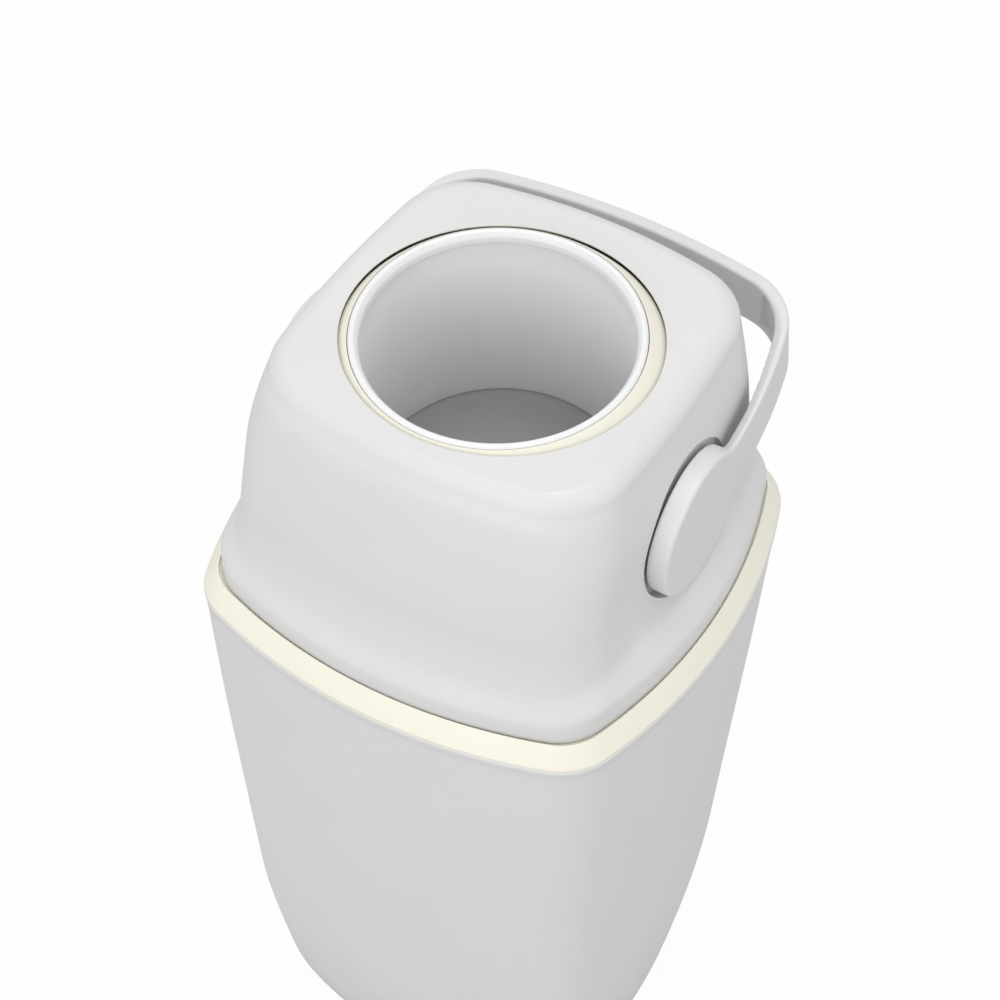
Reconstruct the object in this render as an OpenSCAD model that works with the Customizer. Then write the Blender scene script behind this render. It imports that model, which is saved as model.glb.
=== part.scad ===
// Nappy bin with a turn-over drum. A tapered bucket holds the bag, a cream ring clamps
// the bag over the bucket's rim, and a hinged head closes it. In the head turns a ball
// with a chute through it and a loose piston in the chute. The handle is fixed to the
// ball: thrown over to the other side, it turns the ball upside down, and the piston
// falls and pushes the nappy into the bag.
// The floor is z = 0, the mouth is over the origin, +X runs through the right hub and
// -Y points to the front, where the head opens.

/* [Heights] */
// Height of the bucket
bucket_h = 374; // [356:1:392]
// Height of the cream ring that shows between the bucket and the head
ring_h = 11.6; // [10.6:0.1:12.6]
// Height of the hub axis above the seam
hub_rise = 64.4; // [62:0.2:68]
// Depth of the hub axis below the flat top
hub_drop = 70; // [68:0.5:72]

/* [Mouth and ball] */
// Radius of the round mouth in the head
mouth_r = 78; // [75:0.5:81]
// Gap from the mouth's edge to the ball
mouth_gap = 1.8; // [1.4:0.1:2.2]
// Width of the cream ball that shows round the mouth rim
ball_show = 6.6; // [6:0.1:7.2]
// Wall of the ball's two halves
ball_wall = 2.5; // [2.2:0.1:3]
// Height that the mouth rim stands proud of the ball
rim_proud = 1.1; // [0.9:0.1:1.3]
// Width of the mouth rim's top
rim_w = 5.7; // [5.2:0.1:6.2]
// Depth of the mouth rim's inner lip
rim_lip_d = 6.2; // [5.6:0.1:6.8]
// Wall of the chute tube
tube_wall = 2.5; // [2.2:0.1:3]
// Lean of the chute towards the front when the handle rests at the back
lean = 3.2; // [2.8:0.1:3.6]
// Turn of the handle from one stop to the other
turn = 173.6; // [172:0.1:175]

/* [Head] */
// Room from the ball to the outside of the head's skirt
ball_room = 20.7; // [20:0.1:22]
// Wall of the head cover
head_wall = 2.8; // [2.5:0.1:3]
// Width of the flat top beside the mouth, with its rounded edge
top_side_w = 18.2; // [17.4:0.1:19.4]
// Width of the flat top in front of the mouth, with its rounded edge
top_front_w = 17.2; // [16.6:0.1:18.4]
// Width of the flat top behind the mouth, with its rounded edge
top_back_w = 26.5; // [25:0.1:28]
// Radius of the rounded edge of the flat top
head_edge_r = 10; // [9:0.5:11]
// Depth that the skirt reaches below the seam, into the ring
skirt_dip = 1.2; // [1:0.1:1.4]
// Plate thickness of the head base
base_t = 3; // [2.8:0.1:3.4]
// Height of the head gasket
gasket_h = 3; // [2.8:0.1:3.2]
// Width of the head gasket
gasket_w = 6; // [5:0.5:7]
// Width of the ball seals
seal_w = 6; // [5:0.1:6.4]
// Height of the ball seals
seal_h = 7; // [6:0.2:7.4]

/* [Bucket and ring] */
// Wall of the bucket
bucket_wall = 2.8; // [2.5:0.1:3.2]
// Thickness of the bucket's floor
floor_t = 4; // [3.5:0.1:5]
// Height of the foot rim and of the cross ribs under the bucket's floor
foot_h = 3; // [2.4:0.2:4]
// Width of the foot rim
foot_w = 9; // [8:0.5:12]
// Width of the cross ribs under the floor
rib_w = 5; // [4:0.5:7]
// Width of the ring's sloping cream face, seen from above
ring_slope_w = 7.2; // [6.8:0.1:7.6]
// Wall of the cream ring
ring_wall = 2.5; // [2.2:0.1:2.8]
// Width of the ledge that the head closes on
ledge_w = 18; // [17:0.5:20]
// Depth of the ring's skirt inside the bucket
ring_skirt_d = 22; // [20:1:26]
// Room for the bag between the ring's skirt and the bucket
bag_room = 1.2; // [1:0.1:1.5]

/* [Handle] */
// Angle of the handle above the horizontal, at rest at the back
handle_angle = 12.5; // [11:0.5:14]
// Distance from the hub axis to the outside of the crossbar
handle_reach = 140.5; // [139:0.5:143]
// Thickness of the crossbar
grip_t = 7.4; // [7:0.1:8]
// Thickness of the arms
arm_t = 5.6; // [5.2:0.1:5.8]
// Width of the arms
arm_w = 34; // [32:0.5:35]
// Width of the crossbar
grip_w = 36; // [34:0.5:37]
// Radius of the hub discs
disc_r = 38; // [36:0.5:39]
// Thickness of the hub discs
disc_t = 9; // [8.5:0.1:9.5]
// Radius of the hub spigots
spigot_r = 16; // [15:0.5:17]

/* [Hinge] */
// Radius of the hinge pin
pin_r = 2.5; // [2.2:0.1:2.8]
// Radius of the hinge knuckles
knuckle_r = 6; // [5.6:0.1:6.4]
// Half length of the head's middle knuckle
knuckle_half = 22; // [20:1:26]
// Length of each bucket knuckle
knuckle_len = 16; // [14:1:20]

/* [Piston] */
// Height of the piston
piston_h = 30; // [28:0.5:32]
// Depth of the dish in each face of the piston
dish_d = 5; // [4:0.5:6]
// Thickness of the steel weight in the piston
weight_t = 7; // [6:0.5:8]
// Distance from the piston's edge to its steel weight
weight_in = 21; // [19:0.5:24]
// Distance from the piston's edge to its three studs
stud_in = 13; // [12:0.5:14]
// Height of the piston's wiper rings
wiper_h = 4; // [3.6:0.1:4.4]

/* [Hidden] */
$fn = 96;
fine = 240;
round_step = 22.5;

// Overrun of every cut, clearances of seated, running and soft parts
cut = 1;
fit = 0.1;
run = 0.05;
seat = 0.3;

// Levels
seam_z = bucket_h + ring_h;
hub_z = seam_z + hub_rise;
top_z = hub_z + hub_drop;

// Ball and mouth rim, in the ball's own frame with the chute along Z
edge_r = sqrt(mouth_r * mouth_r + hub_drop * hub_drop);
ball_r = edge_r - mouth_gap;
ball_clear = 1.2;
seal_clear = 0.4;
rim_r = mouth_r - ball_show;
lip_r = rim_r - rim_w;
rim_z = sqrt(ball_r * ball_r - rim_r * rim_r) + rim_proud;
lip_z = rim_z - rim_lip_d;
rim_skirt = 1.6;
rim_skirt_d = 14;
rim_round = 1;
rim_bevel = 2.6;
tube_r = rim_r - rim_skirt - fit;
bore_r = tube_r - tube_wall;

// Outline of the head's skirt: half width, bow of the sides and corner radius
bow_share = 2.177;
corner_share = 0.266;
head_half = ball_r + ball_room;
seam_gap = 0.8;
ring_lip = 0.6;
rim_half = head_half + seam_gap + ring_lip + ring_slope_w;

// Rows of shares up the head: height, way from the skirt to the flat top's outline at
// the side, front and back, and shares of the skirt's half width: bow of the sides, bow of
// the front and back, corner radius
head_shares = [
    [0,     0,    0,    0,    2.177, 2.177, 0.266],
    [0.056, 0.01, 0.01, 0.02, 2.2,   2.177, 0.266],
    [0.108, 0.10, 0.08, 0.12, 2.6,   2.177, 0.265],
    [0.164, 0.32, 0.18, 0.26, 4.0,   2.177, 0.262],
    [0.228, 0.56, 0.28, 0.39, 6.0,   2.177, 0.259],
    [0.341, 0.68, 0.40, 0.55, 8.0,   2.2,   0.256],
    [0.518, 0.73, 0.50, 0.72, 7.3,   2.25,  0.275],
    [0.759, 0.77, 0.72, 0.98, 6.3,   2.3,   0.30],
    [1,     1,    1,    1,    5.3,   2.37,  0.322]];
top_half = mouth_r * [1, 1, 1] + [top_side_w, top_front_w, top_back_w];
head_rise = hub_rise + hub_drop - head_edge_r;

// Rows of shares up the bucket: height, half width at the side, front and back
bucket_shares = [
    [0,     0.779, 0.733, 0.824],
    [0.053, 0.816, 0.771, 0.862],
    [0.134, 0.853, 0.809, 0.898],
    [0.214, 0.884, 0.843, 0.926],
    [0.294, 0.906, 0.871, 0.940],
    [0.401, 0.921, 0.896, 0.948],
    [0.588, 0.947, 0.933, 0.961],
    [0.775, 0.973, 0.968, 0.978],
    [1,     1,     1,     1]];

// Slope of the bucket's wall near its rim, as a share of the rim's half width
wall_slope_share = 0.15;

// Rim bead of the bucket
bead_h = 3;
bead_w = 0.5;
bucket_rise = bucket_h - bead_h;
floor_z = foot_h + floor_t;

// Levels at the seam
ledge_drop = 2;
ledge_z = seam_z - ledge_drop;
gasket_z = ledge_z + seat;
base_z = gasket_z + gasket_h;
base_top = base_z + base_t;
ring_inner_half = head_half + seam_gap - ledge_w;
gasket_in = 5;
collar_lip = 1;

// Hub stack along X, from the recess in the cover's side inwards
hub_side = lookup(hub_z, [for (r = head_rows()) [r[0], r[1]]]);
recess_d = 0.9;
recess_x = hub_side - recess_d;
recess_gap = 2;
recess_r = disc_r + recess_gap;
pad_t = 6;
pad_x = recess_x - pad_t;
pad_r = recess_r + head_wall;
disc_gap = 1.2;
disc_x = recess_x + disc_gap;
flange_t = 2;
flange_w = 8;
flange_r = spigot_r + flange_w;
bush_wall = 3.6;
bush_r = spigot_r + run + bush_wall;
ball_end = pad_x - seat - flange_t - disc_gap;
end_wall = 3;
hex_share = 0.72;
hex_r = spigot_r * hex_share;
screw_r = 2.5;
washer_r = 15;
washer_t = 1.5;
hub_screw_head_r = 6;
hub_screw_head_t = 3.5;
hub_screw_len = disc_x + disc_t / 2 - (ball_end - end_wall - washer_t);

// Stop lug on each end of the ball, in an arc groove of the pad
lug_r = 2.2;
lug_path = flange_r + 3 * lug_r;
lug_reach = 2;
lug_angle = 250;

// Screw posts of the head, at shares of the skirt's half width
post_share = [0.68, 0.70];
post_r = 5.2;
post_screw_r = 1.9;
post_screw_len = 15;
screw_spare = 1;
post_head_r = 3.6;
post_head_t = 2;

// Hinge axis, behind the bucket's rim
hinge_y = rim_half + knuckle_r + seat;
hinge_z = seam_z + knuckle_r / 2;
knuckle_gap = 0.4;
hinge_tab_d = 24;

// Front tongue that locates the closed head in the ring
tongue_w = 40;
tongue_t = 2.5;
tongue_d = 9;
tongue_gap = seat + tongue_w * tongue_w / 8 / (bow_share * ring_inner_half);

// Piston, resting on the lower lip
piston_r = bore_r - seat;
wiper_r = bore_r - 2 * run;
wiper_d = 3.5;
wiper_in = 5;
piston_z = -lip_z;
weight_r = piston_r - weight_in;
stud_r = 1.8;
stud_ring = piston_r - stud_in;
stud_cover = 2;

// Handle: the bail's centre line and its section
arm_step = 1;
handle_wide = disc_x + disc_t - arm_step;
rise_share = 0.31;
arm_bow_share = 1.99;
grip_bow_share = 3.24;
handle_corner_share = 0.26;
arm_point_shares = [0.6, 0.8];
arm_rise = rise_share * handle_reach;
band_edge = 1.5;
arc_steps = 5;
channel_d = 3;
channel_rim = 4;
channel_share = 0.8;
neck_fillet = 14;
disc_round = 2.5;

// Shape helpers

// Smooth list of rows through the given rows, with k steps between neighbours
function smooth(rows, k) = [
    for (i = [0:len(rows) - 2], j = [0:k - 1])
        let (u = j / k, a = rows[max(i - 1, 0)], b = rows[i], c = rows[i + 1],
             d = rows[min(i + 2, len(rows) - 1)])
        b + (u * (c - a) + u * u * (2 * a - 5 * b + 4 * c - d)
             + u * u * u * (3 * b - a - 3 * c + d)) / 2,
    rows[len(rows) - 1]];

// Row at a level, between the rows of a list
function row_at(rows, z) = [z, for (k = [1:6]) lookup(z, [for (r = rows) [r[0], r[k]]])];

// Row at another level, and a row drawn in on all sides
function lift(row, z) = [z, for (k = [1:6]) row[k]];
function drawn_in(row, d) = [row[0], for (k = [1:6]) row[k] - d];

function head_rows() = smooth([for (s = head_shares)
    [seam_z + s[0] * head_rise,
     for (k = [1:3]) head_half + s[k] * (top_half[k - 1] - head_half),
     for (k = [4:6]) s[k] * head_half]], 2);

function bucket_rows() = smooth([for (s = bucket_shares)
    [s[0] * bucket_rise, s[1] * rim_half, s[2] * rim_half, s[3] * rim_half,
     bow_share * s[1] * rim_half, bow_share * s[1] * rim_half,
     corner_share * s[1] * rim_half]], 2);

// One quarter of an outline: a side arc, a corner arc and a front or back arc, tangent
// to each other. hx and hy are the half widths, rx and ry the bows, r the corner radius
function quarter(hx, hy, rx, ry, r, n = 4) =
    let (a = [hx - rx, 0], b = [0, hy - ry], d = norm(b - a), e = (b - a) / d,
         f = ((rx - r) * (rx - r) - (ry - r) * (ry - r) + d * d) / (2 * d),
         g = sqrt(max(0, (rx - r) * (rx - r) - f * f)),
         c = a + e * f + g * [-e.y, e.x],
         a1 = atan2(c.y - a.y, c.x - a.x), a2 = atan2(c.y - b.y, c.x - b.x))
    concat([for (i = [0:n - 1]) a + rx * [cos(a1 * i / n), sin(a1 * i / n)]],
           [for (i = [0:2 * n]) let (t = a1 + (a2 - a1) * i / (2 * n)) c + r * [cos(t), sin(t)]],
           [for (i = [1:n]) let (t = a2 + (90 - a2) * i / n) b + ry * [cos(t), sin(t)]]);

// The same points with the signs of x and y turned, in the turned order if both differ
function backwards(p) = [for (i = [len(p) - 1:-1:0]) p[i]];
function without_ends(p) = [for (i = [1:len(p) - 2]) p[i]];
function turned(p, sx, sy) = [for (q = p) [q.x * sx, q.y * sy]];

// Closed outline of a row: [level, side, front, back, bow, bow, corner]
function outline(w) =
    let (back = quarter(w[1], w[3], w[4], w[5], w[6]),
         front = quarter(w[1], w[2], w[4], w[5], w[6]))
    concat(back, without_ends(backwards(turned(back, -1, 1))),
           turned(front, -1, -1), without_ends(backwards(turned(front, 1, -1))));

// Skin through a list of rows, closed by the first and last outline, or joined end to
// end into a ring
module loft(rows, ring = false) {
    m = len(rows);
    n = len(outline(rows[0]));
    pts = [for (w = rows) for (p = outline(w)) [p.x, p.y, w[0]]];
    last = ring ? m - 1 : m - 2;
    sides = [for (j = [0:last], i = [0:n - 1], k = [0, 1])
        let (a = j * n + i, b = j * n + (i + 1) % n,
             c = (j + 1) % m * n + i, d = (j + 1) % m * n + (i + 1) % n)
        k == 0 ? [a, c, d] : [a, d, b]];
    caps = ring ? [] : [[for (i = [0:n - 1]) i], [for (i = [n - 1:-1:0]) (m - 1) * n + i]];
    polyhedron(points = pts, faces = concat(sides, caps), convexity = 6);
}

// Flat plate with the outline of a row
module plate(row, t) {
    translate([0, 0, row[0]]) linear_extrude(t) polygon(outline(row));
}

// Moves to the hub axis, with the chute's lean or the handle's angle
module at_hub(a) { translate([0, 0, hub_z]) rotate([a, 0, 0]) children(); }

// Turns Z to +X or to -X
module along_x(side) { rotate([0, 90 * side, 0]) children(); }

// Rounded ring section turned round Z: inner and outer radius, low and high level
module ring_solid(r0, r1, z0, z1) {
    rotate_extrude() translate([r0, z0]) square([r1 - r0, z1 - z0]);
}

// Bucket

module knuckle(x0, len) {
    translate([x0, hinge_y, hinge_z]) rotate([0, 90, 0]) cylinder(r = knuckle_r, h = len);
}

module pin_bore(r) {
    half = knuckle_half + knuckle_gap + knuckle_len + cut;
    translate([-half, hinge_y, hinge_z]) rotate([0, 90, 0]) cylinder(r = r, h = 2 * half);
}

module bucket() {
    outer = bucket_rows();
    top = outer[len(outer) - 1];
    bead = drawn_in(top, -bead_w);
    inner = [for (w = outer) if (w[0] > floor_z + bucket_wall) drawn_in(w, bucket_wall)];
    knuckle_x = knuckle_half + knuckle_gap;
    web_z = hinge_z - hinge_tab_d - knuckle_r;
    color([0.8, 0.81, 0.82]) difference() {
        union() {
            loft(concat(outer,
                [lift(bead, top[0] + bead_w), lift(bead, bucket_h)],
                [lift(drawn_in(top, bucket_wall), bucket_h)],
                backwards(inner),
                [drawn_in(row_at(outer, floor_z), 2 * bucket_wall)]));
            for (x0 = [knuckle_x, -knuckle_x - knuckle_len]) {
                knuckle(x0, knuckle_len);
                translate([x0, rim_half + seat, web_z])
                    cube([knuckle_len, 2 * knuckle_r, hinge_z - web_z]);
                translate([x0, rim_half - bucket_wall / 2, web_z])
                    cube([knuckle_len, knuckle_r, bucket_h - web_z]);
            }
        }
        pin_bore(pin_r + run);
        foot_pockets();
    }
}

// Four pockets under the floor, which leave the foot rim and the cross ribs
module foot_pockets() {
    low = drawn_in(bucket_rows()[0], foot_w);
    wide = 2 * rim_half;
    difference() {
        plate(lift(low, -cut), foot_h + cut);
        cube([wide, rib_w, 2 * foot_h + cut], center = true);
        cube([rib_w, wide, 2 * foot_h + cut], center = true);
    }
}

// Cream ring on the bucket's rim. The bag hangs between its skirt and the bucket
module bag_ring() {
    rim = lift(bucket_rows()[len(bucket_rows()) - 1], bucket_h);
    skirt_in = bucket_wall + bag_room;
    taper = ring_skirt_d / bucket_rise * rim_half * wall_slope_share;
    slope = ring_slope_w + ring_lip;
    inner = rim_half - ring_inner_half;
    under = ledge_z - ring_wall;
    color([0.96, 0.95, 0.88]) loft([
        rim,
        lift(rim, bucket_h + ring_wall / 2),
        lift(drawn_in(rim, ring_slope_w), seam_z),
        lift(drawn_in(rim, slope), seam_z),
        lift(drawn_in(rim, slope), ledge_z),
        lift(drawn_in(rim, inner), ledge_z),
        lift(drawn_in(rim, inner), under),
        lift(drawn_in(rim, skirt_in + ring_wall), under),
        lift(drawn_in(rim, skirt_in + taper + ring_wall), bucket_h - ring_skirt_d),
        lift(drawn_in(rim, skirt_in + taper), bucket_h - ring_skirt_d),
        lift(drawn_in(rim, skirt_in), bucket_h)], ring = true);
}

module hinge_pin() {
    half = knuckle_half + knuckle_gap + knuckle_len;
    color([0.7, 0.71, 0.73]) translate([-half, hinge_y, hinge_z]) rotate([0, 90, 0])
        cylinder(r = pin_r, h = 2 * half);
}

// Head

module posts(r, z0, h) {
    for (sx = [-1, 1], sy = [-1, 1])
        translate([sx * post_share[0] * head_half, sy * post_share[1] * head_half, z0])
            cylinder(r = r, h = h, $fn = 32);
}

// Rows of the cover's outside or, drawn in by d, of its inside, up to the flat top
function cover_rows(d) =
    let (rows = head_rows(), last = rows[len(rows) - 1], e = head_edge_r)
    concat([lift(drawn_in(rows[0], d), seam_z - skirt_dip)],
           [for (i = [1:len(rows) - 1]) drawn_in(rows[i], d)],
           [for (a = [round_step:round_step:90])
               lift(drawn_in(last, e - (e - d) * cos(a)), last[0] + (e - d) * sin(a))]);

module head_cover() {
    arm_half = knuckle_half + 2 * knuckle_gap;
    color([0.87, 0.88, 0.89]) difference() {
        loft(cover_rows(0));
        difference() {
            loft(concat([lift(cover_rows(head_wall)[0], seam_z - skirt_dip - cut)],
                        cover_rows(head_wall)));
            posts(post_r, base_top, top_z - base_top);
            difference() {
                for (side = [-1, 1]) at_hub(0) along_x(side)
                    translate([0, 0, pad_x]) cylinder(r = pad_r, h = hub_side);
                translate([0, 0, seam_z])
                    cylinder(r = collar_r() + base_t + seat, h = collar_top() + seat - seam_z);
            }
        }
        translate([0, 0, hub_z]) cylinder(r = mouth_r, h = hub_drop + cut);
        ball_room_cut();
        posts(post_screw_r - fit, base_z, post_screw_len + screw_spare);
        for (side = [-1, 1]) at_hub(0) along_x(side) {
            translate([0, 0, recess_x]) cylinder(r = recess_r, h = hub_side);
            translate([0, 0, pad_x - cut]) cylinder(r = bush_r, h = hub_side);
        }
        stop_groove();
        mirror([1, 0, 0]) stop_groove();
        translate([-arm_half, head_half / 2, seam_z - skirt_dip - cut])
            cube([2 * arm_half, head_half, base_top + seat - seam_z + skirt_dip + cut]);
    }
}

// Room for the ball, between the flat pads that carry the hubs
module ball_room_cut() {
    big = 2 * (ball_r + ball_clear + cut);
    translate([0, 0, hub_z]) intersection() {
        sphere(r = ball_r + ball_clear, $fn = fine);
        cube([2 * pad_x, big, big], center = true);
    }
}

// Arc groove for the right stop lug, cut into the pad from its inner face
module stop_groove() {
    spare = asin((lug_r + fit) / lug_path);
    at_hub(0) rotate([lug_angle, 0, 0]) rotate([0, 90, 0]) rotate([0, 0, -spare + 90])
        translate([0, 0, pad_x - cut]) rotate_extrude(angle = turn + 2 * spare)
            translate([lug_path - lug_r - fit, 0])
                square([2 * (lug_r + fit), lug_reach + seat + cut]);
}

// Collar round the lower seal: inner radius and top
function collar_r() = seal_outer(base_top) + fit;
function collar_top() = base_top + seal_h;

module head_base() {
    row = drawn_in(head_rows()[0], head_wall + seat);
    throat = sqrt(ball_r * ball_r - (hub_z - base_top) * (hub_z - base_top)) + 2 * ball_clear;
    collar = collar_r();
    color([0.8, 0.81, 0.82]) difference() {
        union() {
            plate(lift(row, base_z), base_t);
            ring_solid(collar, collar + base_t, base_z, collar_top());
            knuckle(-knuckle_half, 2 * knuckle_half);
            translate([-knuckle_half, head_half - ledge_w, base_z])
                cube([2 * knuckle_half, hinge_y - head_half + ledge_w, base_t]);
            translate([-tongue_w / 2, tongue_gap - ring_inner_half, base_z - gasket_h - tongue_d])
                cube([tongue_w, tongue_t, tongue_d + gasket_h + cut]);
        }
        translate([0, 0, base_z - cut]) cylinder(r = throat, h = base_t + 2 * cut);
        ball_room_cut();
        posts(post_screw_r + fit, base_z - cut, base_t + 2 * cut);
        pin_bore(pin_r + run);
    }
}

module head_gasket() {
    row = drawn_in(head_rows()[0], head_wall + seat + gasket_in);
    color([0.45, 0.46, 0.47]) translate([0, 0, gasket_z]) linear_extrude(gasket_h)
        difference() {
            polygon(outline(row));
            polygon(outline(drawn_in(row, gasket_w)));
        }
}

// Self-tapping screw: pan head below z = 0, shank above it
module screw(head_r, head_t, r, len) {
    translate([0, 0, -head_t]) cylinder(r = head_r, h = head_t, $fn = 32);
    cylinder(r = r, h = len, $fn = 32);
}

module head_screws() {
    color([0.7, 0.71, 0.73]) for (sx = [-1, 1], sy = [-1, 1])
        translate([sx * post_share[0] * head_half, sy * post_share[1] * head_half, base_z])
            screw(post_head_r, post_head_t, post_screw_r - 2 * fit, post_screw_len);
}

// Outer radius of a ball seal whose flat face lies at the given level
function seal_outer(z) =
    sqrt(pow(ball_r + seal_clear, 2) - pow(hub_z - z, 2)) + seal_w;

module upper_seal() {
    z = top_z - head_wall;
    color([0.5, 0.51, 0.52]) difference() {
        ring_solid(mouth_r, seal_outer(z), z - seal_h, z);
        translate([0, 0, hub_z]) sphere(r = ball_r + seal_clear, $fn = fine);
    }
}

module lower_seal() {
    color([0.5, 0.51, 0.52]) difference() {
        ring_solid(mouth_r, seal_outer(base_top), base_top, collar_top() - collar_lip);
        translate([0, 0, hub_z]) sphere(r = ball_r + seal_clear, $fn = fine);
    }
}

// Flanged bearing bush, pressed into the pad from inside
module bush(side) {
    color([0.93, 0.93, 0.9]) at_hub(0) along_x(side) difference() {
        union() {
            translate([0, 0, pad_x - flange_t]) cylinder(r = flange_r, h = flange_t);
            translate([0, 0, pad_x]) cylinder(r = bush_r - run, h = pad_t);
        }
        translate([0, 0, pad_x - flange_t - cut])
            cylinder(r = spigot_r + run, h = flange_t + pad_t + 2 * cut);
    }
}

module bush_left() { bush(-1); }
module bush_right() { bush(1); }

// Drum

// Upper or lower half of the ball, split across the chute at the hub axis
module ball_half(up) {
    big = 2 * (ball_r + cut);
    color([0.96, 0.95, 0.88]) at_hub(lean) difference() {
        intersection() {
            difference() {
                sphere(r = ball_r, $fn = fine);
                intersection() {
                    sphere(r = ball_r - ball_wall, $fn = fine);
                    cube([2 * (ball_end - end_wall), big, big], center = true);
                }
            }
            translate([0, 0, up * big / 2]) cube([2 * ball_end, big, big], center = true);
        }
        cylinder(r = rim_r + fit, h = big, center = true);
        for (side = [-1, 1]) along_x(side)
            translate([0, 0, ball_end - end_wall - cut]) rotate([0, 0, 30])
                cylinder(r = hex_r + fit, h = end_wall + 2 * cut, $fn = 6);
    }
}

// Stop lug on each end of the lower half
module stop_lugs() {
    for (side = [-1, 1]) at_hub(lug_angle) along_x(side)
        translate([0, lug_path, ball_end - end_wall])
            cylinder(r = lug_r, h = pad_x + lug_reach - ball_end + end_wall, $fn = 32);
}

module ball_upper() { ball_half(1); }

module ball_lower() {
    color([0.96, 0.95, 0.88]) union() {
        ball_half(-1);
        stop_lugs();
    }
}

module chute_tube() {
    color([0.8, 0.8, 0.8]) at_hub(lean) difference() {
        cylinder(r = tube_r, h = 2 * lip_z, center = true);
        cylinder(r = bore_r, h = 2 * lip_z + cut, center = true);
    }
}

// Mouth rim: rounded top, bevelled lip that keeps the piston in, skirt over the tube
module mouth_rim(up) {
    c = rim_round;
    color([0.91, 0.92, 0.93]) at_hub(lean) mirror([0, 0, up > 0 ? 0 : 1]) rotate_extrude()
        polygon(concat(
            [for (a = [0:round_step:90]) [rim_r - c + c * cos(a), rim_z - c + c * sin(a)]],
            [[lip_r + rim_bevel, rim_z], [lip_r, rim_z - rim_bevel], [lip_r, lip_z],
             [tube_r + fit, lip_z], [tube_r + fit, lip_z - rim_skirt_d],
             [rim_r, lip_z - rim_skirt_d]]));
}

module mouth_rim_upper() { mouth_rim(1); }
module mouth_rim_lower() { mouth_rim(-1); }

// Hub disc with its neck, spigot and hexagonal nose, along +Z with the arm towards +Y
module hub() {
    neck = arm_w / 2;
    f = neck_fillet;
    fx = neck + f;
    fy = sqrt(pow(disc_r + f, 2) - fx * fx);
    touch = fx * disc_r / (disc_r + f);
    translate([0, 0, disc_x]) {
        rotate_extrude() polygon(concat([[0, 0], [disc_r, 0]],
            [for (a = [0:round_step:90])
                [disc_r - disc_round + disc_round * cos(a), disc_t - disc_round + disc_round * sin(a)]],
            [[0, disc_t]]));
        translate([0, 0, disc_t - arm_step - arm_t]) linear_extrude(arm_t) difference() {
            translate([-touch, 0]) square([2 * touch, fy]);
            for (sx = [-1, 1]) translate([sx * fx, fy]) circle(r = f);
        }
    }
    translate([0, 0, ball_end]) cylinder(r = spigot_r, h = disc_x - ball_end + cut);
    translate([0, 0, ball_end - end_wall + fit]) rotate([0, 0, 30 - handle_angle + lean])
        cylinder(r = hex_r, h = end_wall + cut, $fn = 6);
}

// Outer line of the bail, from the right hub round the crossbar to the left one
function bail_line() =
    let (q = quarter(handle_wide, handle_reach - arm_rise, arm_bow_share * handle_reach,
                     grip_bow_share * handle_reach, handle_corner_share * handle_reach, arc_steps),
         half = concat([for (k = arm_point_shares) [handle_wide, arm_rise * k]],
                       [for (p = q) [p.x, p.y + arm_rise]]))
    concat(half, [for (i = [len(half) - 2:-1:0]) [-half[i].x, half[i].y]]);

// Change from the arms to the crossbar at a point of that line, from 0 to 1
function grip_share(p) =
    let (k = max(0, min(1, (p.y - arm_rise) / (handle_reach - arm_rise - grip_t))))
    k * k * (3 - 2 * k);

// Thickness and half width of the bail at a point of its line
function bail_t(p) = arm_t + (grip_t - arm_t) * grip_share(p);
function bail_b(p) = (arm_w + (grip_w - arm_w) * grip_share(p)) / 2;

// Outward direction of a line at its point i
function outwards(line, i) =
    let (t = line[min(i + 1, len(line) - 1)] - line[max(i - 1, 0)])
    [t.y, -t.x] / norm(t);

// Sweep along a line through one section for each point: lists of [outwards, height]
module sweep(line, sections) {
    m = len(line);
    n = len(sections[0]);
    pts = [for (i = [0:m - 1]) let (u = outwards(line, i)) for (s = sections[i])
        [line[i].x + u.x * s[0], line[i].y + u.y * s[0], s[1]]];
    sides = [for (j = [0:m - 2], i = [0:n - 1], k = [0, 1])
        let (a = j * n + i, b = j * n + (i + 1) % n) k == 0 ? [a, b, b + n] : [a, b + n, a + n]];
    caps = [[for (i = [n - 1:-1:0]) i], [for (i = [0:n - 1]) (m - 1) * n + i]];
    polyhedron(points = pts, faces = concat(sides, caps), convexity = 6);
}

module bail() {
    line = bail_line();
    e = band_edge;
    sweep(line, [for (p = line) let (a = bail_t(p), b = bail_b(p))
        [[0, b - e], [-e, b], [e - a, b], [-a, b - e],
         [-a, e - b], [e - a, -b], [-e, -b], [0, e - b]]]);
}

// Channel in the inner face of the right arm, from the neck to the crossbar's corner
module arm_channel() {
    line = bail_line();
    first = len(arm_point_shares);
    last = first + arc_steps * (1 + 2 * channel_share);
    part = [for (i = [first:last]) line[i]];
    sweep(part, [for (p = part) let (a = bail_t(p), b = bail_b(p) - channel_rim)
        [[channel_d - a, b], [-a - cut, b], [-a - cut, -b], [channel_d - a, -b]]]);
}

module handle() {
    color([0.8, 0.81, 0.82]) at_hub(handle_angle) difference() {
        union() {
            bail();
            rotate([0, 90, 0]) hub();
            mirror([1, 0, 0]) rotate([0, 90, 0]) hub();
        }
        arm_channel();
        mirror([1, 0, 0]) arm_channel();
        for (side = [-1, 1]) along_x(side)
            translate([0, 0, ball_end - end_wall - washer_t - cut])
                cylinder(r = screw_r + run, h = hub_screw_len + screw_spare + cut);
    }
}

module hub_washers() {
    color([0.7, 0.71, 0.73]) for (side = [-1, 1]) at_hub(lean) along_x(side)
        translate([0, 0, ball_end - end_wall - washer_t]) difference() {
            cylinder(r = washer_r, h = washer_t);
            translate([0, 0, -cut]) cylinder(r = screw_r + fit, h = washer_t + 2 * cut);
        }
}

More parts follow.
